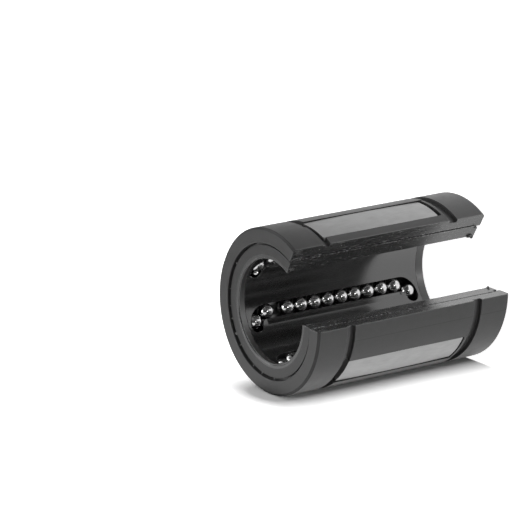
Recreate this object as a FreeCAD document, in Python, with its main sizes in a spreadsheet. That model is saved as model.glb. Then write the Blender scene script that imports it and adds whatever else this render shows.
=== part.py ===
import FreeCAD, Part

import os
import Sketcher

# Open linear ball bearing for a 20 mm shaft: a moulded outer sleeve with steel bearing plates in
# windows, a ball retainer inside it and five endless ball circuits. It stands on one end, with
# its axis on Z and the opening along its side centred on +X. Lengths are millimetres.

SIZES = {
    "shaft_diameter": 20,
    "outer_diameter": 32,
    "bearing_length": 45,
    "opening_angle": 59.6,
    "circuit_count": 5,
    "circuit_spacing": 60,
    "circuit_shift": 1,
    "ball_diameter": 3.175,
    "ball_gap": 0.02,
    "turn_radius": 2.46,
    "end_wall": 6.5,
    "ball_rest_shift": 0.8,
    "track_clearance": 0.11,
    "slot_width": 2.83,
    "slot_hook_angle": 86,
    "bore_clearance": 0.4,
    "lip_clearance": 0.2,
    "lip_width": 0.65,
    "lip_chamfer": 0.12,
    "lip_groove_depth": 0.6,
    "lip_groove_width": 1.0,
    "retainer_cover": 0.025,
    "retainer_gap": 0.3,
    "retainer_setback": 0.45,
    "retainer_collar_step": 0.6,
    "retainer_collar_height": 1.4,
    "sleeve_chamfer": 0.4,
    "sleeve_lip_rise": 0.4,
    "sleeve_lip_height": 1.2,
    "sleeve_lip_chamfer": 0.12,
    "ring_groove_start": 6.65,
    "ring_groove_width": 1.85,
    "ring_groove_depth": 0.75,
    "groove_ledge_width": 0.75,
    "groove_ledge_depth": 0.25,
    "groove_ledge_angle": 54,
    "plate_length": 27,
    "plate_width": 6.7,
    "plate_end_gap": 0.6,
    "plate_side_gap": 0.18,
    "plate_corner": 0.45,
    "plate_crown": 0.12,
    "plate_drop": 0.12,
    "window_shift": 0.6,
    "sill_depth": 0.12,
    "sill_overlap": 0.08,
    "flange_lip": 0.3,
    "flange_overlap": 1.3,
    "flange_thickness": 1.4,
    "flange_gap": 0.2,
    "flat_side_gap": 0.24,
    "raceway_radius": 1.64,
    "raceway_gap": 0.02,
    "raceway_depth": 0.3,
    "ridge_angle": 14,
    "ridge_rise": 0.25,
    "bevel_overlap": 0.3,
    "cut_margin": 1,
}
PLATE_SHIFTS = [0.2, 0.05, -0.1, 0.1, -0.3]

MIDDLE = "(sizes.bearing_length / 2)"
OUTER_RADIUS = "(sizes.outer_diameter / 2)"
SHAFT_RADIUS = "(sizes.shaft_diameter / 2)"
BORE_RADIUS = "(sizes.shaft_diameter / 2 + sizes.bore_clearance)"
BALL_RADIUS = "(sizes.ball_diameter / 2)"
TRACK_RADIUS = "(sizes.ball_diameter / 2 + sizes.track_clearance)"
LOADED_RADIUS = "(sizes.shaft_diameter / 2 + sizes.ball_diameter / 2)"
RETURN_OFFSET = "(2 * sizes.turn_radius)"
HALF_STRAIGHT = "(sizes.bearing_length / 2 - sizes.end_wall)"
HALF_CIRCUIT_ANGLE = f"(atan({RETURN_OFFSET} / {LOADED_RADIUS}) / (2 deg))"
BALL_TOP = "(sizes.shaft_diameter / 2 + sizes.ball_diameter)"
RETAINER_RADIUS = f"({BALL_TOP} + sizes.retainer_cover)"
SLEEVE_BORE_RADIUS = f"({RETAINER_RADIUS} + sizes.retainer_gap)"
FLANGE_BOTTOM = f"({BALL_TOP} + sizes.raceway_gap - sizes.raceway_depth)"
FLANGE_TOP = f"({FLANGE_BOTTOM} + sizes.flange_thickness)"
RECESS_TOP = f"({FLANGE_TOP} + sizes.flange_gap)"
FLAT_HEIGHT = f"({FLANGE_BOTTOM} - sizes.flange_gap)"
FLANGE_HALF_WIDTH = "(sizes.plate_width / 2 + sizes.flange_lip)"
FLANGE_HALF_LENGTH = "(sizes.plate_length / 2 + sizes.flange_overlap)"
WINDOW_HALF_WIDTH = "(sizes.plate_width / 2 + sizes.plate_side_gap)"
WINDOW_HALF_LENGTH = "(sizes.plate_length / 2 + sizes.plate_end_gap)"
WINDOW_MIDDLE = f"({MIDDLE} + sizes.window_shift)"
WELL_OUTSIDE = f"({OUTER_RADIUS} + 2 * sizes.cut_margin)"

doc = FreeCAD.newDocument("linear_ball_bearing")
sheet = doc.addObject("Spreadsheet::Sheet", "sizes")
for row, (alias, size) in enumerate(SIZES.items(), start=1):
    sheet.set(f"A{row}", alias.replace("_", " "))
    sheet.set(f"B{row}", str(size))
    sheet.setAlias(f"B{row}", alias)
for number, shift in enumerate(PLATE_SHIFTS, start=1):
    row = len(SIZES) + number
    sheet.set(f"A{row}", f"plate {number} shift")
    sheet.set(f"B{row}", str(shift))
    sheet.setAlias(f"B{row}", f"plate_shift_{number}")
doc.recompute()


def value(expression):
    """Give the plain number that an expression of the sheet stands for."""
    result = sheet.evalExpression(expression)
    return float(getattr(result, "Value", result))


def row_angle(number):
    """Give the direction of loaded ball row 1, 2 and so on, counted from the opening."""
    middle_place = f"({number} - (sizes.circuit_count + 1) / 2)"
    middle_angle = f"(180 + sizes.circuit_shift - {HALF_CIRCUIT_ANGLE})"
    return f"({middle_angle} + {middle_place} * sizes.circuit_spacing)"


def origin_feature(body, role):
    """Find one of a body's own origin planes or axes."""
    return next(item for item in body.Origin.OriginFeatures if item.Role == role)


def new_sketch(body, name, role):
    """Start a sketch on one of the body's origin planes."""
    sketch = body.newObject("Sketcher::SketchObject", name)
    sketch.AttachmentSupport = [(origin_feature(body, role), "")]
    sketch.MapMode = "FlatFace"
    return sketch


def face_row(sketch, angle, distance):
    """Turn a sketch on the YZ plane to face a ball row, at a distance from the axis."""
    sketch.AttachmentOffset = FreeCAD.Placement(
        FreeCAD.Vector(), FreeCAD.Rotation(FreeCAD.Vector(0, 1, 0), 1))
    sketch.setExpression("AttachmentOffset.Rotation.Angle", angle)
    sketch.setExpression("AttachmentOffset.Base.x", f"{distance} * sin({angle})")
    sketch.setExpression("AttachmentOffset.Base.z", f"{distance} * cos({angle})")


def turn_flat(sketch, angle, height):
    """Turn a sketch on the XY plane so that its own X axis points at a ball row."""
    sketch.AttachmentOffset = FreeCAD.Placement(
        FreeCAD.Vector(), FreeCAD.Rotation(FreeCAD.Vector(0, 0, 1), 1))
    sketch.setExpression("AttachmentOffset.Rotation.Angle", angle)
    sketch.setExpression("AttachmentOffset.Base.z", height)


def fix_point(sketch, geometry, end, x, y):
    """Hold one point of the sketch at a place given by two expressions."""
    for kind, expression in (("DistanceX", x), ("DistanceY", y)):
        number = sketch.addConstraint(
            Sketcher.Constraint(kind, -1, 1, geometry, end, value(expression)))
        sketch.setExpression(f"Constraints[{number}]", expression)


def add_circle(sketch, x, y, radius):
    """Add a circle whose centre and radius are expressions."""
    centre = FreeCAD.Vector(value(x), value(y), 0)
    circle = sketch.addGeometry(Part.Circle(centre, FreeCAD.Vector(0, 0, 1), value(radius)), False)
    fix_point(sketch, circle, 3, x, y)
    number = sketch.addConstraint(Sketcher.Constraint("Radius", circle, value(radius)))
    sketch.setExpression(f"Constraints[{number}]", radius)


def add_outline(sketch, corners, arcs=None):
    """Add a closed outline through corners of two expressions each.

    arcs gives, for the side that leaves a corner, its arc's centre and whether it turns left.
    """
    arcs = arcs or {}
    points = [FreeCAD.Vector(value(x), value(y), 0) for x, y in corners]
    sides = len(corners)
    ends = []
    for side in range(sides):
        start = points[side]
        stop = points[(side + 1) % sides]
        if side not in arcs:
            line = sketch.addGeometry(Part.LineSegment(start, stop), False)
            ends.append((line, 1, 2))
            continue
        centre_x, centre_y, turns_left = arcs[side]
        centre = FreeCAD.Vector(value(centre_x), value(centre_y), 0)
        first, last = (start, stop) if turns_left else (stop, start)
        circle = Part.Circle(centre, FreeCAD.Vector(0, 0, 1), (first - centre).Length)
        arc = Part.ArcOfCircle(circle, circle.parameter(first), circle.parameter(last))
        geometry = sketch.addGeometry(arc, False)
        ends.append((geometry, 1, 2) if turns_left else (geometry, 2, 1))
    for side in range(sides):
        geometry, start_end, stop_end = ends[side]
        fix_point(sketch, geometry, start_end, *corners[side])
        following = ends[(side + 1) % sides]
        sketch.addConstraint(Sketcher.Constraint(
            "Coincident", geometry, stop_end, following[0], following[1]))
    for side, (centre_x, centre_y, turns_left) in arcs.items():
        chord = points[(side + 1) % sides] - points[side]
        if abs(chord.x) > abs(chord.y):
            kind, expression = "DistanceY", centre_y
        else:
            kind, expression = "DistanceX", centre_x
        number = sketch.addConstraint(
            Sketcher.Constraint(kind, -1, 1, ends[side][0], 3, value(expression)))
        sketch.setExpression(f"Constraints[{number}]", expression)


def add_rounded_rectangle(sketch, half_width, half_length, corner, middle_y):
    """Add a rectangle with round corners, centred on X at a height."""
    left, right = f"-{half_width}", half_width
    low = f"({middle_y} - {half_length})"
    high = f"({middle_y} + {half_length})"
    corners = [
        (f"({left} + {corner})", low), (f"({right} - {corner})", low),
        (right, f"({low} + {corner})"), (right, f"({high} - {corner})"),
        (f"({right} - {corner})", high), (f"({left} + {corner})", high),
        (left, f"({high} - {corner})"), (left, f"({low} + {corner})"),
    ]
    arcs = {
        1: (f"({right} - {corner})", f"({low} + {corner})", True),
        3: (f"({right} - {corner})", f"({high} - {corner})", True),
        5: (f"({left} + {corner})", f"({high} - {corner})", True),
        7: (f"({left} + {corner})", f"({low} + {corner})", True),
    }
    add_outline(sketch, corners, arcs)


def add_racetrack(sketch, offset):
    """Add the outline that lies an offset outside the middle line of a ball circuit."""
    low, high = f"({MIDDLE} - {HALF_STRAIGHT})", f"({MIDDLE} + {HALF_STRAIGHT})"
    left, right = f"(-1 * {offset})", f"({RETURN_OFFSET} + {offset})"
    corners = [(left, high), (left, low), (right, low), (right, high)]
    arcs = {1: ("sizes.turn_radius", low, True), 3: ("sizes.turn_radius", high, True)}
    add_outline(sketch, corners, arcs)


def pocket(body, name, sketch, length, outward):
    """Cut from a sketch, away from the axis or toward it."""
    cut = body.newObject("PartDesign::Pocket", name)
    cut.Profile = sketch
    cut.setExpression("Length", length)
    cut.Reversed = outward
    return cut


def repeat_circuits(body, name, features):
    """Repeat features for every ball circuit, round the axis."""
    pattern = body.newObject("PartDesign::PolarPattern", name)
    pattern.Originals = features
    pattern.Axis = (origin_feature(body, "Z_Axis"), [""])
    pattern.setExpression("Angle", "sizes.circuit_spacing * (sizes.circuit_count - 1)")
    pattern.setExpression("Occurrences", "sizes.circuit_count")
    body.Tip = pattern


def revolve_open(body, sketch):
    """Revolve a section on the far side of the axis, leaving the opening toward +X."""
    turned = body.newObject("PartDesign::Revolution", body.Name + "_turned")
    turned.Profile = sketch
    turned.ReferenceAxis = (origin_feature(body, "Z_Axis"), [""])
    turned.Midplane = True
    turned.setExpression("Angle", "360 - sizes.opening_angle")


def cut_track(body, angle):
    """Cut the round channel of one ball circuit, swept along its racetrack middle line."""
    route = new_sketch(body, body.Name + "_route", "YZ_Plane")
    face_row(route, angle, LOADED_RADIUS)
    low, high = f"({MIDDLE} - {HALF_STRAIGHT})", f"({MIDDLE} + {HALF_STRAIGHT})"
    corners = [("0", MIDDLE), ("0", low), (RETURN_OFFSET, low), (RETURN_OFFSET, high), ("0", high)]
    arcs = {1: ("sizes.turn_radius", low, True), 3: ("sizes.turn_radius", high, True)}
    add_outline(route, corners, arcs)
    section = new_sketch(body, body.Name + "_ball_section", "XY_Plane")
    turn_flat(section, angle, MIDDLE)
    add_circle(section, LOADED_RADIUS, "0", TRACK_RADIUS)
    doc.recompute()
    channel = body.newObject("PartDesign::SubtractivePipe", body.Name + "_channel")
    channel.Profile = section
    channel.Spine = (route, [])
    return channel


def make_outer_sleeve():
    """Make the moulded sleeve: ring grooves, plate windows with a shelf inside, ball relief."""
    body = doc.addObject("PartDesign::Body", "outer_sleeve")
    section = new_sketch(body, "sleeve_section", "XZ_Plane")
    length = "sizes.bearing_length"
    outside = f"(-1 * {OUTER_RADIUS})"
    chamfered = f"({outside} + sizes.sleeve_chamfer)"
    floor = f"({outside} + sizes.ring_groove_depth)"
    ledge = f"({outside} + sizes.groove_ledge_depth)"
    inside = f"(-1 * {SLEEVE_BORE_RADIUS})"
    lip = f"({inside} + sizes.sleeve_lip_rise)"
    mouth = f"({lip} - sizes.sleeve_lip_chamfer)"
    lip_end = "sizes.sleeve_lip_height"
    groove_end = "(sizes.ring_groove_start + sizes.ring_groove_width)"
    upper = f"({length} - sizes.ring_groove_start)"
    step = f"({upper} - sizes.groove_ledge_width)"
    lower = f"({length} - {groove_end})"
    corners = [
        (inside, lip_end), (lip, lip_end), (lip, "sizes.sleeve_lip_chamfer"), (mouth, "0"),
        (chamfered, "0"), (outside, "sizes.sleeve_chamfer"), (outside, "sizes.ring_groove_start"),
        (floor, "sizes.ring_groove_start"), (floor, groove_end), (outside, groove_end),
        (outside, lower), (floor, lower), (floor, step), (ledge, step), (ledge, upper),
        (outside, upper), (outside, f"({length} - sizes.sleeve_chamfer)"), (chamfered, length),
        (mouth, length), (lip, f"({length} - sizes.sleeve_lip_chamfer)"),
        (lip, f"({length} - {lip_end})"), (inside, f"({length} - {lip_end})"),
    ]
    add_outline(section, corners)
    revolve_open(body, section)

    deeper = new_sketch(body, "deeper_groove_section", "XZ_Plane")
    clear = f"(-1 * {WELL_OUTSIDE})"
    add_outline(deeper, [(clear, step), (floor, step), (floor, upper), (clear, upper)])
    deeper_cut = body.newObject("PartDesign::Groove", "deeper_groove")
    deeper_cut.Profile = deeper
    deeper_cut.ReferenceAxis = (origin_feature(body, "Z_Axis"), [""])
    deeper_cut.Midplane = True
    deeper_cut.setExpression("Angle", "360 - 2 * sizes.groove_ledge_angle")

    angle = row_angle(1)
    window = new_sketch(body, "window_outline", "YZ_Plane")
    face_row(window, angle, FLANGE_BOTTOM)
    add_rounded_rectangle(
        window, WINDOW_HALF_WIDTH, WINDOW_HALF_LENGTH, "sizes.plate_corner", WINDOW_MIDDLE)
    window_cut = pocket(body, "window", window, f"{WELL_OUTSIDE} - {FLANGE_BOTTOM}", True)

    sill = new_sketch(body, "sill_section", "XZ_Plane")
    sill.AttachmentOffset = FreeCAD.Placement(
        FreeCAD.Vector(), FreeCAD.Rotation(FreeCAD.Vector(0, 1, 0), 1))
    sill.setExpression("AttachmentOffset.Rotation.Angle", angle)
    sill_floor = f"({OUTER_RADIUS} - sizes.sill_depth)"
    sill_low = "(sizes.ring_groove_start + sizes.ring_groove_width / 2)"
    sill_high = f"({WINDOW_MIDDLE} - {WINDOW_HALF_LENGTH} + sizes.plate_corner)"
    add_outline(sill, [
        (sill_floor, sill_low), (WELL_OUTSIDE, sill_low), (WELL_OUTSIDE, sill_high),
        (sill_floor, sill_high),
    ])
    sill_cut = body.newObject("PartDesign::Groove", "sill")
    sill_cut.Profile = sill
    sill_cut.ReferenceAxis = (origin_feature(body, "Z_Axis"), [""])
    sill_cut.Midplane = True
    sill_cut.setExpression(
        "Angle", f"2 * asin(({WINDOW_HALF_WIDTH} + sizes.sill_overlap) / {OUTER_RADIUS})")

    shelf = new_sketch(body, "shelf_outline", "YZ_Plane")
    face_row(shelf, angle, FLAT_HEIGHT)
    add_rounded_rectangle(
        shelf, f"({FLANGE_HALF_WIDTH} + sizes.plate_side_gap)",
        f"({FLANGE_HALF_LENGTH} + sizes.plate_end_gap)", "sizes.plate_corner", WINDOW_MIDDLE)
    shelf_cut = pocket(body, "shelf", shelf, f"{RECESS_TOP} - {FLAT_HEIGHT}", True)

    relief_cut = cut_track(body, angle)
    repeat_circuits(body, "sleeve_circuits", [window_cut, sill_cut, shelf_cut, relief_cut])
    return body


def make_ball_retainer():
    """Make the retainer: collars and lips at its ends, ball channels, bore slots and flats."""
    body = doc.addObject("PartDesign::Body", "ball_retainer")
    section = new_sketch(body, "retainer_section", "XZ_Plane")
    bottom = "sizes.retainer_setback"
    outside = f"(-1 * {RETAINER_RADIUS})"
    collar = f"({outside} + sizes.retainer_collar_step)"
    lip = f"(-1 * ({SHAFT_RADIUS} + sizes.lip_clearance))"
    mouth = f"({lip} - sizes.lip_chamfer)"
    bore = f"(-1 * {BORE_RADIUS})"
    groove = f"({bore} - sizes.lip_groove_depth)"
    lip_end = f"({bottom} + sizes.lip_width)"
    groove_end = f"({lip_end} + sizes.lip_groove_width)"
    half = [
        (outside, "sizes.retainer_collar_height"), (collar, "sizes.retainer_collar_height"),
        (collar, bottom), (mouth, bottom), (lip, f"({bottom} + sizes.lip_chamfer)"),
        (lip, lip_end), (groove, lip_end), (groove, groove_end), (bore, groove_end),
    ]
    mirrored = [(x, f"(sizes.bearing_length - {y})") for x, y in reversed(half)]
    add_outline(section, half + mirrored)
    revolve_open(body, section)

    angle = row_angle(1)
    channel = cut_track(body, angle)

    trench = new_sketch(body, "trench_outline", "YZ_Plane")
    face_row(trench, angle, LOADED_RADIUS)
    add_racetrack(trench, TRACK_RADIUS)
    add_racetrack(trench, f"(-1 * {TRACK_RADIUS})")
    trench_cut = pocket(
        body, "trench", trench, f"{RETAINER_RADIUS} - {LOADED_RADIUS} + sizes.cut_margin", True)

    flat = new_sketch(body, "plate_flat_outline", "YZ_Plane")
    face_row(flat, angle, FLAT_HEIGHT)
    add_rounded_rectangle(
        flat, f"({FLANGE_HALF_WIDTH} + sizes.flat_side_gap)",
        f"({FLANGE_HALF_LENGTH} + sizes.plate_end_gap)", "sizes.plate_corner", WINDOW_MIDDLE)
    flat_cut = pocket(
        body, "plate_flat", flat, f"{RETAINER_RADIUS} - {FLAT_HEIGHT} + sizes.cut_margin", True)

    slot = new_sketch(body, "slot_outline", "YZ_Plane")
    face_row(slot, angle, LOADED_RADIUS)
    add_hooked_slot(slot)
    slot_cut = pocket(
        body, "slot", slot, f"{LOADED_RADIUS} - {SHAFT_RADIUS} + sizes.cut_margin", False)

    bevel = new_sketch(body, "bevel_section", "XY_Plane")
    turn_flat(bevel, angle, f"({MIDDLE} - {HALF_STRAIGHT})")
    ridge_x = f"({BORE_RADIUS} * cos(sizes.ridge_angle))"
    ridge_y = f"({BORE_RADIUS} * sin(sizes.ridge_angle))"
    edge_y = "(sizes.slot_width / 2 - sizes.bevel_overlap)"
    inner_x = f"({ridge_x} - sizes.cut_margin)"
    add_outline(bevel, [
        (inner_x, edge_y), (f"({BORE_RADIUS} + sizes.ridge_rise)", edge_y),
        (ridge_x, ridge_y), (inner_x, ridge_y),
    ])
    bevel_cut = body.newObject("PartDesign::Pocket", "bevel")
    bevel_cut.Profile = bevel
    bevel_cut.setExpression("Length", f"2 * {HALF_STRAIGHT}")
    bevel_cut.Reversed = True

    repeat_circuits(
        body, "retainer_circuits", [channel, trench_cut, flat_cut, slot_cut, bevel_cut])
    return body


def add_hooked_slot(sketch):
    """Add the bore slot: straight along the loaded row, then hooked part way round each turn."""
    low, high = f"({MIDDLE} - {HALF_STRAIGHT})", f"({MIDDLE} + {HALF_STRAIGHT})"
    half = "(sizes.slot_width / 2)"
    wide = f"(sizes.turn_radius + {half})"
    narrow = f"(sizes.turn_radius - {half})"
    across = "cos(sizes.slot_hook_angle)"
    along = "sin(sizes.slot_hook_angle)"
    centre = "sizes.turn_radius"

    def turn_point(radius, height, sign):
        return f"({centre} - {radius} * {across})", f"({height} {sign} {radius} * {along})"

    corners = [
        (f"(-1 * {half})", high), (f"(-1 * {half})", low),
        turn_point(wide, low, "-"), turn_point(narrow, low, "-"),
        (half, low), (half, high),
        turn_point(narrow, high, "+"), turn_point(wide, high, "+"),
    ]
    low_tip = turn_point(centre, low, "-")
    high_tip = turn_point(centre, high, "+")
    arcs = {
        1: (centre, low, True), 2: (*low_tip, True), 3: (centre, low, False),
        5: (centre, high, False), 6: (*high_tip, True), 7: (centre, high, True),
    }
    add_outline(sketch, corners, arcs)


def make_bearing_plate(number):
    """Make one steel plate: a flange under the window, a crowned face and a ball raceway."""
    body = doc.addObject("PartDesign::Body", f"bearing_plate_{number}")
    middle = f"({WINDOW_MIDDLE} + sizes.plate_shift_{number})"
    top = f"({OUTER_RADIUS} - sizes.plate_drop)"

    flange = new_sketch(body, f"flange_outline_{number}", "YZ_Plane")
    flange.setExpression("AttachmentOffset.Base.z", FLANGE_BOTTOM)
    add_rounded_rectangle(
        flange, FLANGE_HALF_WIDTH, FLANGE_HALF_LENGTH, "sizes.plate_corner", middle)
    flange_pad = body.newObject("PartDesign::Pad", f"flange_{number}")
    flange_pad.Profile = flange
    flange_pad.setExpression("Length", "sizes.flange_thickness")

    face = new_sketch(body, f"face_outline_{number}", "YZ_Plane")
    face.setExpression("AttachmentOffset.Base.z", FLANGE_BOTTOM)
    add_rounded_rectangle(
        face, "(sizes.plate_width / 2)", "(sizes.plate_length / 2)", "sizes.plate_corner", middle)
    face_pad = body.newObject("PartDesign::Pad", f"face_{number}")
    face_pad.Profile = face
    face_pad.setExpression("Length", f"{OUTER_RADIUS} - {FLANGE_BOTTOM} + sizes.cut_margin")

    crown = new_sketch(body, f"crown_section_{number}", "XZ_Plane")
    half_length = "(sizes.plate_length / 2 + sizes.cut_margin)"
    crown_radius = "(sizes.plate_length ^ 2 / 8 / sizes.plate_crown)"
    end_drop = f"({crown_radius} - sqrt({crown_radius} ^ 2 - {half_length} ^ 2))"
    edge = f"({top} - {end_drop})"
    add_outline(crown, [
        (edge, f"({middle} - {half_length})"),
        (WELL_OUTSIDE, f"({middle} - {half_length})"),
        (WELL_OUTSIDE, f"({middle} + {half_length})"),
        (edge, f"({middle} + {half_length})"),
    ], {3: (f"({top} - {crown_radius})", middle, False)})
    crown_cut = body.newObject("PartDesign::Groove", f"crown_{number}")
    crown_cut.Profile = crown
    crown_cut.ReferenceAxis = (origin_feature(body, "Z_Axis"), [""])
    crown_cut.Angle = 360

    raceway = new_sketch(body, f"raceway_section_{number}", "XY_Plane")
    race_centre = f"({BALL_TOP} + sizes.raceway_gap - sizes.raceway_radius)"
    add_circle(raceway, race_centre, "0", "sizes.raceway_radius")
    raceway_cut = body.newObject("PartDesign::Pocket", f"raceway_{number}")
    raceway_cut.Profile = raceway
    raceway_cut.setExpression("Length", "sizes.bearing_length")
    raceway_cut.Reversed = True
    body.Tip = raceway_cut
    body.setExpression("Placement.Rotation.Angle", row_angle(number))
    return body


def make_ball(name, y, z):
    """Make one ball of the circuit whose loaded row lies on +X."""
    ball = doc.addObject("Part::Sphere", name)
    ball.setExpression("Radius", BALL_RADIUS)
    ball.setExpression("Placement.Base.x", LOADED_RADIUS)
    ball.setExpression("Placement.Base.y", y)
    ball.setExpression("Placement.Base.z", z)
    return ball


def make_circuit_balls():
    """Make one full circuit of balls, as four groups that travel together.

    The loaded row's top ball stands apart from the others, where its circuit's train ends.
    """
    straight = value(f"2 * {HALF_STRAIGHT}")
    count = int(straight / value("sizes.ball_diameter + sizes.ball_gap"))
    pitch = f"(2 * {HALF_STRAIGHT} / {count})"
    low, high = f"({MIDDLE} - {HALF_STRAIGHT})", f"({MIDDLE} + {HALF_STRAIGHT})"
    turned = f"(90 * (1 - sizes.ball_rest_shift / {pitch}))"
    groups = {"loaded_balls": [], "return_balls": [], "upper_turn_balls": [],
              "lower_turn_balls": []}
    for index in range(1, count):
        loaded = f"{low} + sizes.ball_rest_shift + {index - 1} * {pitch}"
        back = f"{low} - sizes.ball_rest_shift + {index} * {pitch}"
        groups["loaded_balls"].append(make_ball(f"loaded_ball_{index}", "0", loaded))
        groups["return_balls"].append(make_ball(f"return_ball_{index}", RETURN_OFFSET, back))
    groups["loaded_balls"].append(
        make_ball(f"loaded_ball_{count}", "0", f"{high} - sizes.ball_rest_shift"))
    for index in range(2):
        around = f"({turned} + {90 * index})"
        across = f"sizes.turn_radius - sizes.turn_radius * cos({around})"
        beyond = f"sizes.turn_radius * sin({around})"
        groups["lower_turn_balls"].append(
            make_ball(f"lower_turn_ball_{index + 1}", across, f"{low} - {beyond}"))
        groups["upper_turn_balls"].append(
            make_ball(f"upper_turn_ball_{index + 1}", across, f"{high} + {beyond}"))
    return groups


def place_ball_groups(number, groups):
    """Place a copy of the circuit's ball groups at one circuit."""
    placed = []
    for name, balls in groups.items():
        group = doc.addObject("Part::Compound", f"{name}_{number}")
        group.Links = balls
        group.setExpression("Placement.Rotation.Angle", row_angle(number))
        placed.append(group)
    return placed


def check_document(pieces):
    """Stop if a feature failed or a piece has no sound solid."""
    for item in doc.Objects:
        if "Invalid" in item.State or "Error" in item.State:
            raise RuntimeError(f"{item.Name} failed: {item.State}")
    for piece in pieces:
        if piece.Shape.isNull() or not piece.Shape.isValid() or piece.Shape.Volume <= 0:
            raise RuntimeError(f"{piece.Label} has no valid solid")


pieces = [make_outer_sleeve(), make_ball_retainer()]
circuit_balls = make_circuit_balls()
for circuit in range(1, int(value("sizes.circuit_count")) + 1):
    pieces.append(make_bearing_plate(circuit))
    pieces.extend(place_ball_groups(circuit, circuit_balls))
doc.recompute()
check_document(pieces)
os.makedirs("parts", exist_ok=True)
for piece in pieces:
    piece.Shape.exportStep(f"parts/{piece.Label}.step")
    print(piece.Label, len(piece.Shape.Solids), round(piece.Shape.Volume, 2))
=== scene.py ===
import math

import bmesh
import bpy
from mathutils import Matrix, Vector, noise


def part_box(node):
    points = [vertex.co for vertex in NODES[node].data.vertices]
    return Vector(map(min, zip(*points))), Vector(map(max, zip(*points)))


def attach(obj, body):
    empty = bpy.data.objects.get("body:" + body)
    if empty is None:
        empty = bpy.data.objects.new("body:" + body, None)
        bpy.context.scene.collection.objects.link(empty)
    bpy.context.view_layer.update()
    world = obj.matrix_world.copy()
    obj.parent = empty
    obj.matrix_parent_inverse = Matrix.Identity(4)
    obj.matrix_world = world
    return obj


# Looks of the open linear ball bearing: satin black polymer, ground steel plates and polished
# balls, on a white stage. Lengths are metres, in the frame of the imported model.

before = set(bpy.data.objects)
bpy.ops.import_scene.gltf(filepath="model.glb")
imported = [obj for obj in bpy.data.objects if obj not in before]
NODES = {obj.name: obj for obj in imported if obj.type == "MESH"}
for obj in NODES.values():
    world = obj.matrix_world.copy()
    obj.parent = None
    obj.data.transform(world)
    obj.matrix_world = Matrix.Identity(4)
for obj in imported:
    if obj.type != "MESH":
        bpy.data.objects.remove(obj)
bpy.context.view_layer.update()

MM = 0.001
CIRCUITS = range(1, 1 + sum(name.startswith("bearing_plate_") for name in NODES))
BALL_GROUPS = ("loaded", "return", "upper_turn", "lower_turn")
OUTER_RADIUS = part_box("outer_sleeve")[1][1]
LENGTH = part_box("outer_sleeve")[1][2]
HALF_OPENING_DEG = 29.8
HALF_OPENING = math.radians(HALF_OPENING_DEG)

# Where the polymer's looks change: an edge is the start and the end of a soft border, and a
# band lies between its two values. SEAM_EDGE is in parts of the step from seam to seam.
SAWN_EDGE = (HALF_OPENING + 0.004, HALF_OPENING + 0.010)
OILED_EDGE = (10.7 * MM, 10.9 * MM)
GAP_BAND = (13.05 * MM, 13.65 * MM)
CHANNEL_BAND = (10.5 * MM, 13.1 * MM)
CHANNEL_HEIGHT_BAND = (0.6 * MM, LENGTH - 0.6 * MM)
CHAMFER_EDGE = (OUTER_RADIUS + LENGTH / 2 - 0.47 * MM, OUTER_RADIUS + LENGTH / 2 - 0.43 * MM)
SEAM_TURN = math.radians(78.7)
SEAM_STEP = math.radians(60)
SEAM_EDGE = (0.0022, 0.0045)
SEAM_BAND = (15.9 * MM, 17 * MM)
SEAM_TOP_EDGE = (38.5 * MM, 38.6 * MM)
BAND_SOFTNESS = 0.05 * MM
GAP_SOFTNESS = 0.12 * MM

# Radii of the rounded edges that the shaders draw, and how far wear reaches from an edge; on the
# polymer that lighter edge is partly a painted highlight.
POLYMER_ROUNDING = 0.07 * MM
POLYMER_WEAR_AND_HIGHLIGHT = 0.11 * MM
STEEL_ROUNDING = 0.06 * MM
STEEL_WEAR = 0.09 * MM

# Marks per metre of radius and of height on the sawn faces, and per radian, metre of radius
# and metre of height on ground steel.
SAW_STREAKS = (3600.0, 420.0)
SAW_SMEARS = (1100.0, 190.0)
GRINDING_LINES = (150.0, 9000.0, 500.0)

# The polymers' tones and roughness, how their parts and faults compare with the tone, with painted
# light in the channels, a painted highlight on the worn edges and painted shade on the chamfers, and
# greys that don't follow it.
SLEEVE_TONE = 0.025
RETAINER_TONE = 0.019
LIP_TONE = 0.05
MOULDED_ROUGH = 0.40
OILED_ROUGH = 0.15
LIP_ROUGH = 0.34
LIP_INNER_ROUGH = 0.30
SHADES = {
    "cloud_dark": 0.85,
    "cloud_light": 1.15,
    "grain": 1.6,
    "sawn_dark": 0.5,
    "sawn_light": 1.9,
    "channel": 3.0,
    "edge": 3.6,
    "chamfer": 0.8,
    "seam": 0.35,
}
TORN_GREY = 0.22
FLECK_GREY = 0.40
DUST_GREY = 0.30
POLYMER_IOR = 1.60
OILED_IOR = 2.0
CHAMFER_IOR = 1.40
FLASH_GREYS = (0.05, 0.16)

# Greys of the plates' ground steel and of the polished balls.
STEEL_CLOUD_GREYS = (0.36, 0.41)
GRINDING_GREY = 0.30
STEEL_SPECK_GREY = 0.18
STEEL_EDGE_GREY = 0.80
BALL_GREY = 0.72
SMUDGE_GREY = 0.60

# Camera: where the photograph was taken from, and how it was turned about its line of sight.
CAMERA_PLACE = Vector((0.60922, -0.09941, 0.46382))
CAMERA_TURN = [math.radians(angle) for angle in (-15.55878, 54.28457, -29.05550)]
PHOTO_SIDE_PX = 525
FOCAL_PX = 4000
SENSOR_WIDTH_MM = 36
CAMERA_CLIP = (0.01, 20)

# In the photograph the bearing lies on its side, so a second white sheet touches it there.
PHOTO_UP = Vector((0.48993, 0.87177, 0.0)).normalized()
PHOTO_RIGHT = PHOTO_UP.cross(Vector((0, 0, 1)))
STAGE_SIDE = 6.0
STAGE_GREY = 0.80
FLOOR_GLOW = 0.95
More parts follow.
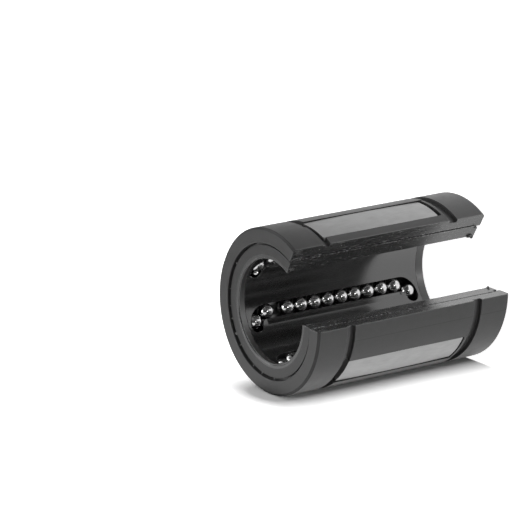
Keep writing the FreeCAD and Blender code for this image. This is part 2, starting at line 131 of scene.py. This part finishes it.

# The stage's soft borders: how far from the origin the floor's painted reflection changes, and how
# far from the line of contact the second sheet's painted shadow and painted reflection do. Beyond the
# bearing's ends the distances from that line count for more, so the painted shadow is shorter there.
FLOOR_NEAR_ENDS = (22 * MM, 34 * MM)
FLOOR_FAR_FADES = (62 * MM, 86 * MM)
FLOOR_FADES_TO = 0.32
SHEET_SHADOW = (5 * MM, 12.5 * MM)
SHEET_PAINTED_SHADOW_LEVELS = (0.01, 0.90)
SHEET_MIRROR = (3 * MM, 10 * MM)
SHEET_MIRROR_LEVELS = (0.05, 1.0)
SHEET_FADES = (45 * MM, 100 * MM)
SHEET_FADES_TO = 0.6
SHEET_SIDES = (-6 * MM, 6 * MM)
SHEET_BEYOND_ENDS = 2.0

# How bright each lamp and each part of the world is, and the painted reflections that the white
# sheets
# show: the floor near the axis and farther off, and the second sheet in front of the
# bearing and behind it.
LIGHT_LEVELS = {
    "even": 0.05,
    "above": 0.15,
    "behind": 0.30,
    "left": 0.40,
    "key_lamp": 1.1,
    "top_lamp": 0.5,
    "mouth_lamp": 7.0,
    "front_lamp": 9.0,
    "floor_near": 1.05,
    "floor_far": 0.95,
    "sheet_front": 1.0,
    "sheet_back": 0.90,
}
WORLD_LOBE_EDGE = (0.35, 0.95)

# Each square lamp's distance from the part's middle and its side, and two lamps' directions.
LAMP_SIZES = {
    "front_lamp": (0.6, 0.10),
    "mouth_lamp": (0.6, 0.34),
    "key_lamp": (0.7, 0.6),
    "top_lamp": (0.7, 0.6),
}
FRONT_LAMP_TOWARD = Vector((0.95, -0.30, 0.06))
MOUTH_LAMP_TOWARD = Vector((0.08, 0.13, 0.98))

# Flash in the upper gap: direction in degrees, inner and outer radius and width in millimetres.
GAP_CRUMBS = [
    (78.3, 12.5, 13.25, 0.16), (118.3, 12.4, 13.15, 0.22), (144.5, 12.5, 13.1, 0.14),
    (159.5, 12.5, 13.2, 0.15), (170.3, 12.4, 13.2, 0.26), (183.3, 12.5, 13.15, 0.5),
    (194.0, 12.4, 13.15, 0.24), (217.0, 12.5, 13.2, 0.26), (229.5, 12.5, 13.15, 0.2),
    (247.0, 12.5, 13.2, 0.18), (280.8, 12.5, 13.2, 0.16), (295.8, 12.5, 13.2, 0.16),
]
GAP_CRUMB_LEAN_DEG = 0.6
GAP_CRUMB_DEPTHS_MM = (0.75, 0.45)
GAP_CRUMB_THICKNESS = 0.15 * MM
GAP_CRUMB_SEED_STEP = 3.1
CRUMB_LUMPS = 1.7
CRUMB_DENTS = 0.45

# Outline of the lower wiping lip, as radius and height in millimetres: from the retainer's bore
# over the lip's tip to the retainer's end lip, and back through the recess behind it.
LIP_OUTLINE = [(10.42, 2.05), (10.1, 0.95), (10.03, 0.72), (10.06, 0.66), (10.5, 0.66),
               (10.5, 1.14), (10.95, 1.14), (10.95, 2.05)]
LIP_HALF_GAP_DEG = HALF_OPENING_DEG + 0.344
LIP_STEPS = 120


class Shader:
    """A material or world whose nodes are added and joined by short calls."""

    def __init__(self, block):
        self.block = block
        block.use_nodes = True
        self.tree = block.node_tree
        self.tree.nodes.clear()

    def add(self, kind, settings=None, **inputs):
        """Add a node. An input is named in words, or by its number, as in i0."""
        node = self.tree.nodes.new(kind)
        for key, choice in (settings or {}).items():
            setattr(node, key, choice)
        for key, source in inputs.items():
            digits = key[1:]
            socket = node.inputs[int(digits) if digits.isdigit() else key.replace("_", " ")]
            if isinstance(source, bpy.types.NodeSocket):
                self.tree.links.new(source, socket)
            else:
                socket.default_value = source
        return node

    def place(self):
        """Give the point's place in the part's own frame."""
        return self.add("ShaderNodeTexCoord").outputs["Object"]

    def polar(self):
        """Give the point's distance from the axis, its direction round it and its height."""
        split = self.add("ShaderNodeSeparateXYZ", Vector=self.place())
        across, up = split.outputs["X"], split.outputs["Y"]
        reach = self.length(across, up)
        return reach, self.calc("ARCTAN2", up, across), split.outputs["Z"]

    def vector(self, first, second, third):
        return self.add("ShaderNodeCombineXYZ", i0=first, i1=second, i2=third).outputs[0]

    def noise(self, scale, detail, rough, vector=None):
        node = self.add("ShaderNodeTexNoise", Vector=vector or self.place(), Scale=scale,
                        Detail=detail, Roughness=rough)
        return node.outputs["Fac"]

    def calc(self, operation, first, second=0.0):
        node = self.add("ShaderNodeMath", {"operation": operation}, i0=first, i1=second)
        return node.outputs["Value"]

    def times(self, first, second):
        return self.calc("MULTIPLY", first, second)

    def length(self, first, second):
        """Give the length of a flat vector."""
        square = self.calc("ADD", self.times(first, first), self.times(second, second))
        return self.calc("SQRT", square)

    def remap(self, source, low, high, new_low=0.0, new_high=1.0):
        """Stretch one span of values over another, and hold its ends outside it."""
        node = self.add("ShaderNodeMapRange", i0=source, i1=low, i2=high, i3=new_low, i4=new_high)
        return node.outputs["Result"]

    def between(self, source, low, high, soft):
        """Give 1 where the source lies between two values, with soft ends."""
        rise = self.remap(source, low - soft, low + soft)
        fall = self.remap(source, high - soft, high + soft, 1.0, 0.0)
        return self.times(rise, fall)

    def dot(self, first, second):
        node = self.add("ShaderNodeVectorMath", {"operation": "DOT_PRODUCT"}, i0=first, i1=second)
        return node.outputs["Value"]

    def mix(self, amount, first, second):
        """Mix two colours."""
        node = self.add("ShaderNodeMix", {"data_type": "RGBA"}, i0=amount, i6=first, i7=second)
        return node.outputs[2]

    def rounded_normal(self, radius, samples):
        """Give the normal of the surface with its edges rounded."""
        return self.add("ShaderNodeBevel", {"samples": samples}, Radius=radius).outputs["Normal"]

    def glow(self, strength):
        return self.add("ShaderNodeEmission", Color=grey(1.0), Strength=strength).outputs[0]

    def finish(self, surface):
        """Join the surface to the material's output and give the material."""
        self.add("ShaderNodeOutputMaterial", Surface=surface)
        return self.block


def new_shader(name):
    return Shader(bpy.data.materials.new(name))


def grey(level):
    return (level, level, level, 1.0)


def edge_mask(shader, radius):
    """Find the edges, where a rounded normal leaves the true one."""
    true = shader.add("ShaderNodeNewGeometry").outputs["Normal"]
    same = shader.dot(shader.rounded_normal(radius, 6), true)
    return shader.remap(same, 0.995, 0.90)


def chamfer_mask(shader, reach, height):
    """Find the sleeve's outer corner at both ends, which gets painted shade and a lower IOR."""
    off_middle = shader.calc("ABSOLUTE", shader.calc("SUBTRACT", height, LENGTH / 2))
    return shader.remap(shader.calc("ADD", reach, off_middle), *CHAMFER_EDGE)


def channel_mask(shader, reach, height, sawn):
    """Find the walls of the retainer's slots and channels, away from the sawn faces, where painted
    light lightens the tone.
    """
    walls = shader.between(reach, *CHANNEL_BAND, BAND_SOFTNESS)
    walls = shader.times(walls, shader.remap(sawn, 0.0, 1.0, 1.0, 0.0))
    return shader.times(walls, shader.between(height, *CHANNEL_HEIGHT_BAND, BAND_SOFTNESS))


def seam_mask(shader, reach, turn, height):
    """Find the thin moulding seams that run along the sleeve between its plates."""
    step = shader.times(shader.calc("SUBTRACT", turn, SEAM_TURN), 1 / SEAM_STEP)
    phase = shader.calc("FRACT", shader.calc("ADD", step, 10.5))
    away = shader.calc("ABSOLUTE", shader.calc("SUBTRACT", phase, 0.5))
    line = shader.remap(away, *SEAM_EDGE, 1.0, 0.0)
    line = shader.times(line, shader.between(reach, *SEAM_BAND, BAND_SOFTNESS))
    return shader.times(line, shader.remap(height, *SEAM_TOP_EDGE, 1.0, 0.0))


def saw_marks(shader, reach, height, per_metre, layer, detail, rough):
    """Marks drawn out along the bearing. Another layer gives another pattern."""
    across, along = per_metre
    stretched = shader.vector(shader.times(reach, across), layer, shader.times(height, along))
    return shader.noise(1.0, detail, rough, stretched)


def sawn_colour(shader, tone, streak, reach, height):
    """Saw marks, with torn smears, pale flecks and a ragged line along the gap."""
    colour = shader.mix(shader.remap(streak, 0.38, 0.66), grey(tone * SHADES["sawn_dark"]),
                        grey(tone * SHADES["sawn_light"]))
    smear = saw_marks(shader, reach, height, SAW_SMEARS, 4.0, 4.0, 0.6)
    torn = shader.times(shader.remap(streak, 0.50, 0.62), shader.remap(smear, 0.52, 0.66))
    colour = shader.mix(torn, colour, grey(TORN_GREY))
    flecks = shader.remap(shader.noise(2600, 4.0, 0.75), 0.62, 0.70, 0.0, 0.9)
    colour = shader.mix(flecks, colour, grey(FLECK_GREY))
    by_gap = shader.between(reach, *GAP_BAND, GAP_SOFTNESS)
    ragged = shader.remap(shader.noise(1500, 4.0, 0.7), 0.50, 0.60)
    return shader.mix(shader.times(by_gap, ragged), colour, grey(FLECK_GREY))


def polymer(name, tone, body_rough, cut_rough, seams):
    """Satin moulded black polymer, oiled in the bore, with sawn faces, worn edges that carry a
    painted highlight, painted light in the channels and painted shade on the chamfers.
    """
    shader = new_shader(name)
    reach, turn, height = shader.polar()
    cloud = shader.noise(700, 4.0, 0.6)
    grain = shader.noise(5200, 3.0, 0.7)
    streak = saw_marks(shader, reach, height, SAW_STREAKS, 0.0, 5.0, 0.7)
    sawn = shader.remap(shader.calc("ABSOLUTE", turn), *SAWN_EDGE, 1.0, 0.0)
    inner = shader.remap(reach, *OILED_EDGE, 1.0, 0.0)
    chamfer = chamfer_mask(shader, reach, height)

    base = shader.mix(shader.remap(cloud, 0.35, 0.65), grey(tone * SHADES["cloud_dark"]),
                      grey(tone * SHADES["cloud_light"]))
    base = shader.mix(shader.remap(grain, 0.40, 0.62, 0.0, 0.30), base, grey(tone * SHADES["grain"]))
    base = shader.mix(sawn, base, sawn_colour(shader, tone, streak, reach, height))
    # Painted light: the walls of the retainer's slots and channels are lightened, standing in for the
    # light that their depth shuts out.
    base = shader.mix(channel_mask(shader, reach, height, sawn), base, grey(tone * SHADES["channel"]))
    # The edges are lightened, partly as wear and partly as a painted highlight along them.
    broken = shader.remap(shader.noise(2100, 3.0, 0.7), 0.44, 0.60, 0.15, 1.0)
    edges = shader.times(edge_mask(shader, POLYMER_WEAR_AND_HIGHLIGHT), broken)
    base = shader.mix(edges, base, grey(tone * SHADES["edge"]))
    # Painted shade: the outer chamfers are darkened, standing in for the dark reflection that they
    # show.
    base = shader.mix(chamfer, base, grey(tone * SHADES["chamfer"]))
    dust = shader.remap(shader.noise(1900, 5.0, 0.8), 0.70, 0.76, 0.0, 0.6)
    base = shader.mix(dust, base, grey(DUST_GREY))
    if seams:
        base = shader.mix(seam_mask(shader, reach, turn, height), base, grey(tone * SHADES["seam"]))

    satin = shader.remap(cloud, 0.3, 0.7, body_rough - 0.05, body_rough + 0.05)
    satin = shader.remap(inner, 0.0, 1.0, satin, cut_rough)
    ripped = shader.remap(streak, 0.35, 0.65, cut_rough - 0.03, cut_rough + 0.10)
    roughness = shader.remap(sawn, 0.0, 1.0, satin, ripped)
    relief = shader.remap(sawn, 0.0, 1.0, grain, shader.times(streak, 4.0))
    bump = shader.add("ShaderNodeBump", Strength=0.3, Distance=0.02 * MM, Height=relief,
                      Normal=shader.rounded_normal(POLYMER_ROUNDING, 4))
    oiled = shader.remap(shader.calc("MAXIMUM", sawn, inner), 0.0, 1.0, POLYMER_IOR, OILED_IOR)
    bsdf = shader.add("ShaderNodeBsdfPrincipled", Base_Color=base, Roughness=roughness,
                      IOR=shader.remap(chamfer, 0.0, 1.0, oiled, CHAMFER_IOR),
                      Normal=bump.outputs["Normal"])
    return shader.finish(bsdf.outputs[0])


def ground_steel(name):
    """Fine ground steel: light satin grey with short grinding lines along the bearing."""
    shader = new_shader(name)
    reach, turn, height = shader.polar()
    stretched = [shader.times(part, per) for part, per in zip((turn, reach, height), GRINDING_LINES)]
    lines = shader.noise(1.0, 4.0, 0.6, shader.vector(*stretched))
    cloud = shader.noise(450, 3.0, 0.5)
    base = shader.mix(shader.remap(cloud, 0.3, 0.7), *[grey(level) for level in STEEL_CLOUD_GREYS])
    base = shader.mix(shader.remap(lines, 0.35, 0.65, 0.0, 0.35), base, grey(GRINDING_GREY))
    speck = shader.remap(shader.noise(2400, 4.0, 0.8), 0.70, 0.76, 0.0, 0.5)
    base = shader.mix(speck, base, grey(STEEL_SPECK_GREY))
    base = shader.mix(edge_mask(shader, STEEL_WEAR), base, grey(STEEL_EDGE_GREY))
    roughness = shader.remap(lines, 0.3, 0.7, 0.36, 0.48)
    bump = shader.add("ShaderNodeBump", Strength=0.15, Distance=0.01 * MM, Height=lines,
                      Normal=shader.rounded_normal(STEEL_ROUNDING, 4))
    bsdf = shader.add("ShaderNodeBsdfPrincipled", Base_Color=base, Roughness=roughness,
                      Metallic=1.0, Normal=bump.outputs["Normal"])
    return shader.finish(bsdf.outputs[0])


def ball_steel(name):
    """Polished bearing steel with a faint film of oil smudges."""
    shader = new_shader(name)
    smudge = shader.noise(1400, 3.0, 0.6)
    base = shader.mix(shader.remap(smudge, 0.4, 0.65), grey(BALL_GREY), grey(SMUDGE_GREY))
    roughness = shader.remap(smudge, 0.35, 0.7, 0.02, 0.06)
    bsdf = shader.add("ShaderNodeBsdfPrincipled", Base_Color=base, Roughness=roughness,
                      Metallic=1.0)
    return shader.finish(bsdf.outputs[0])


def flash_polymer(name):
    """Torn polymer, a little paler than the moulded faces."""
    shader = new_shader(name)
    torn = shader.noise(4000, 4.0, 0.7)
    base = shader.mix(shader.remap(torn, 0.35, 0.65), *[grey(level) for level in FLASH_GREYS])
    bump = shader.add("ShaderNodeBump", Strength=0.5, Distance=0.03 * MM, Height=torn)
    bsdf = shader.add("ShaderNodeBsdfPrincipled", Base_Color=base, Roughness=0.45, IOR=1.5,
                      Normal=bump.outputs["Normal"])
    return shader.finish(bsdf.outputs[0])


def white_stage(shader, camera_glow, mirror_glow):
    """White for the camera and for reflections at the given glows, which carry any painted shadow and
    painted reflection; pale for the light, and it keeps the shadow.
    """
    path = shader.add("ShaderNodeLightPath")
    diffuse = shader.add("ShaderNodeBsdfDiffuse", Color=grey(STAGE_GREY)).outputs[0]
    lit = shader.add("ShaderNodeAddShader", i0=diffuse, i1=shader.glow(camera_glow)).outputs[0]
    surface = shader.add("ShaderNodeMixShader", i0=path.outputs["Is Camera Ray"], i1=diffuse,
                         i2=lit).outputs[0]
    return shader.add("ShaderNodeMixShader", i0=path.outputs["Is Glossy Ray"], i1=surface,
                      i2=shader.glow(mirror_glow)).outputs[0]


def floor_white():
    """The floor, with a painted reflection that is brighter near the axis and fades away from it."""
    shader = new_shader("floor_white")
    place = shader.add("ShaderNodeNewGeometry").outputs["Position"]
    away = shader.add("ShaderNodeVectorMath", {"operation": "LENGTH"}, i0=place).outputs["Value"]
    far = LIGHT_LEVELS["floor_far"]
    # Painted reflection: reflections of the floor are brighter near the axis and fade farther off.
    faded = shader.remap(away, *FLOOR_FAR_FADES, far, far * FLOOR_FADES_TO)
    painted_reflection = shader.remap(away, *FLOOR_NEAR_ENDS, LIGHT_LEVELS["floor_near"], faded)
    return shader.finish(white_stage(shader, FLOOR_GLOW, painted_reflection))


def backdrop_white():
    """The sheet that the bearing lies on in the photograph, darker where they touch by a painted
    shadow.
    """
    shader = new_shader("backdrop_white")
    geometry = shader.add("ShaderNodeNewGeometry").outputs
    across = shader.dot(geometry["Position"], PHOTO_RIGHT)
    height = shader.add("ShaderNodeSeparateXYZ", Vector=geometry["Position"]).outputs["Z"]
    beyond = shader.calc("MAXIMUM", shader.calc("SUBTRACT", height, LENGTH),
                         shader.times(height, -1.0))
    beyond = shader.times(shader.calc("MAXIMUM", beyond, 0.0), SHEET_BEYOND_ENDS)
    away = shader.length(across, beyond)
    # Painted shadow: the sheet's glow for the camera drops near the line of contact and beyond the
    # bearing's ends.
    painted_shadow_glow = shader.remap(away, *SHEET_SHADOW, *SHEET_PAINTED_SHADOW_LEVELS)
    # Painted reflection: reflections of the sheet are darker near the line of contact, differ in
    # front of and behind the bearing, and fade farther off.
    back = LIGHT_LEVELS["sheet_back"]
    faded = shader.remap(away, *SHEET_FADES, back, back * SHEET_FADES_TO)
    side = shader.remap(across, *SHEET_SIDES, faded, LIGHT_LEVELS["sheet_front"])
    painted_reflection = shader.times(side, shader.remap(away, *SHEET_MIRROR, *SHEET_MIRROR_LEVELS))
    surface = white_stage(shader, painted_shadow_glow, painted_reflection)
    clear = shader.add("ShaderNodeBsdfTransparent").outputs[0]
    return shader.finish(shader.add("ShaderNodeMixShader", i0=geometry["Backfacing"], i1=surface,
                                    i2=clear).outputs[0])


def give(node_name, material):
    """Give a carried-over node its material in every slot."""
    slots = NODES[node_name].material_slots
    if not slots:
        NODES[node_name].data.materials.append(material)
    for slot in slots:
        slot.material = material


def dress_nodes():
    plate = ground_steel("plate_steel")
    ball = ball_steel("ball_steel")
    give("outer_sleeve", polymer("sleeve_polymer", SLEEVE_TONE, MOULDED_ROUGH, OILED_ROUGH, True))
    give("ball_retainer", polymer("retainer_polymer", RETAINER_TONE, MOULDED_ROUGH, OILED_ROUGH,
                                  False))
    for number in CIRCUITS:
        give(f"bearing_plate_{number}", plate)
        for group in BALL_GROUPS:
            give(f"{group}_balls_{number}", ball)


def add_object(name, data):
    made = bpy.data.objects.new(name, data)
    bpy.context.scene.collection.objects.link(made)
    return made


def housing_piece(name, mesh, material, smooth):
    """Make a piece of a bmesh, which rides on the housing."""
    for face in mesh.faces:
        face.smooth = smooth
    data = bpy.data.meshes.new(name)
    mesh.to_mesh(data)
    mesh.free()
    data.materials.append(material)
    piece = add_object(name, data)
    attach(piece, "housing")


def on_ring(radius_mm, turn_deg, height_mm):
    """Give the point at a radius, direction and height round the axis."""
    turn = math.radians(turn_deg)
    return Vector((radius_mm * math.cos(turn), radius_mm * math.sin(turn), height_mm)) * MM


def add_crumb(mesh, start, stop, width, thickness, seed):
    """Add one ragged crumb of flash that reaches from one point to another."""
    along = stop - start
    turned = along.to_track_quat("X", "Z").to_matrix().to_4x4()
    size = Matrix.Diagonal((along.length / 2, width / 2, thickness / 2, 1))
    placed = Matrix.Translation((start + stop) / 2) @ turned @ size
    made = bmesh.ops.create_icosphere(mesh, subdivisions=3, radius=1)
    for vertex in made["verts"]:
        dent = noise.noise(vertex.co * CRUMB_LUMPS + Vector((seed, 0, 0)))
        vertex.co = placed @ (vertex.co * (1 + CRUMB_DENTS * dent))


def crumb_piece(name, crumbs, material):
    """Make one piece of several crumbs, each given by its ends, width, thickness and seed."""
    mesh = bmesh.new()
    for crumb in crumbs:
        add_crumb(mesh, *crumb)
    housing_piece(name, mesh, material, True)


def add_flash():
    """Add the flash left in the gap at the upper end, and the burrs at the opening's corners."""
    material = flash_polymer("flash_polymer")
    low_height, high_height = [LENGTH / MM - depth for depth in GAP_CRUMB_DEPTHS_MM]
    crumb_piece("gap_flash", [
        (on_ring(inner, turn - GAP_CRUMB_LEAN_DEG, low_height), on_ring(outer, turn, high_height),
         width * MM, GAP_CRUMB_THICKNESS, index * GAP_CRUMB_SEED_STEP)
        for index, (turn, inner, outer, width) in enumerate(GAP_CRUMBS)
    ], material)
    half = HALF_OPENING_DEG
    crumb_piece("corner_burrs", [
        (on_ring(10.8, half - 0.5, 1.0), on_ring(10.45, half - 0.5, 2.2), 0.6 * MM, 0.5 * MM, 1.3),
        (on_ring(10.5, half - 0.7, 0.7), on_ring(9.9, half - 0.6, 1.1), 0.5 * MM, 0.4 * MM, 2.9),
        (on_ring(10.2, -half + 0.9, 0.7), on_ring(11.6, -half, 1.4), 0.5 * MM, 0.3 * MM, 4.2),
        (on_ring(12.9, half - 0.2, 1.1), on_ring(13.8, half, 1.9), 0.3 * MM, 0.2 * MM, 7.7),
    ], material)


def add_turned(mesh, outline, half_gap_deg, steps):
    """Turn a closed outline of radius and height round the axis, leaving the opening."""
    span = 360 - 2 * half_gap_deg
    sections = []
    for step in range(steps + 1):
        turn = half_gap_deg + span * step / steps
        sections.append([mesh.verts.new(on_ring(radius, turn, height)) for radius, height in outline])
    for near, far in zip(sections, sections[1:]):
        for corner in range(len(outline)):
            mesh.faces.new((near[corner - 1], near[corner], far[corner], far[corner - 1]))
    mesh.faces.new(sections[0])
    mesh.faces.new(sections[-1])


def add_wiper_lips():
    """Add the thin wiping lip that closes the recess inside each end of the retainer."""
    mesh = bmesh.new()
    upper_outline = [(radius, LENGTH / MM - height) for radius, height in LIP_OUTLINE]
    for outline in (LIP_OUTLINE, upper_outline):
        add_turned(mesh, outline, LIP_HALF_GAP_DEG, LIP_STEPS)
    bmesh.ops.recalc_face_normals(mesh, faces=mesh.faces)
    material = polymer("wiper_polymer", LIP_TONE, LIP_ROUGH, LIP_INNER_ROUGH, False)
    housing_piece("wiper_lips", mesh, material, False)


def sheet(name, centre, normal, material):
    """Lay one white square of the stage, with its front toward the normal."""
    mesh = bpy.data.meshes.new(name)
    half = STAGE_SIDE / 2
    corners = [(-half, -half, 0), (half, -half, 0), (half, half, 0), (-half, half, 0)]
    mesh.from_pydata(corners, [], [(0, 1, 2, 3)])
    mesh.materials.append(material)
    sheet_object = add_object(name, mesh)
    sheet_object.rotation_mode = "QUATERNION"
    sheet_object.rotation_quaternion = normal.to_track_quat("Z", "Y")
    sheet_object.location = centre


def build_stage():
    sheet("floor", Vector((0, 0, 0)), Vector((0, 0, 1)), floor_white())
    sheet("backdrop", PHOTO_UP * -OUTER_RADIUS, PHOTO_UP, backdrop_white())


def build_camera():
    lens = bpy.data.cameras.new("camera")
    lens.sensor_width = SENSOR_WIDTH_MM
    lens.lens = FOCAL_PX / PHOTO_SIDE_PX * SENSOR_WIDTH_MM
    lens.clip_start, lens.clip_end = CAMERA_CLIP
    camera = add_object("camera", lens)
    camera.location = CAMERA_PLACE
    camera.rotation_euler = CAMERA_TURN
    bpy.context.scene.camera = camera
    bpy.context.view_layer.update()


def softbox(name, toward):
    """Hang one square lamp in a direction from the part, aimed at it."""
    distance, size = LAMP_SIZES[name]
    lamp = bpy.data.lights.new(name, "AREA")
    lamp.shape = "SQUARE"
    lamp.size = size
    lamp.energy = LIGHT_LEVELS[name] * math.pi * size * size
    holder = add_object(name, lamp)
    holder.location = Vector((0, 0, LENGTH / 2)) + toward.normalized() * distance
    holder.rotation_mode = "QUATERNION"
    holder.rotation_quaternion = (-toward).to_track_quat("-Z", "Y")


def build_world(right, back):
    """Light from all sides with broad soft lobes, and show the camera plain white."""
    world = bpy.data.worlds.new("studio")
    bpy.context.scene.world = world
    shader = Shader(world)
    toward = shader.add("ShaderNodeTexCoord").outputs["Generated"]
    total = LIGHT_LEVELS["even"]
    for name, direction in (("above", PHOTO_UP), ("behind", -back), ("left", -right)):
        lobe = shader.remap(shader.dot(toward, direction), *WORLD_LOBE_EDGE, 0.0, LIGHT_LEVELS[name])
        total = shader.calc("ADD", lobe, total)
    path = shader.add("ShaderNodeLightPath")
    level = shader.remap(path.outputs["Is Camera Ray"], 0.0, 1.0, total, 1.0)
    sky = shader.add("ShaderNodeBackground", Color=grey(1.0), Strength=level)
    shader.add("ShaderNodeOutputWorld", Surface=sky.outputs[0])


def build_lights():
    turn = bpy.context.scene.camera.matrix_world.to_3x3()
    right, up, back = turn.col[0], turn.col[1], turn.col[2]
    softbox("front_lamp", FRONT_LAMP_TOWARD)
    softbox("mouth_lamp", MOUTH_LAMP_TOWARD)
    softbox("key_lamp", up * 0.45 - right * 0.85)
    softbox("top_lamp", up * 0.85 - back * 0.10 - right * 0.30)
    build_world(right, back)


build_camera()
dress_nodes()
add_flash()
add_wiper_lips()
build_stage()
build_lights()
bpy.context.scene.view_settings.view_transform = "Standard"
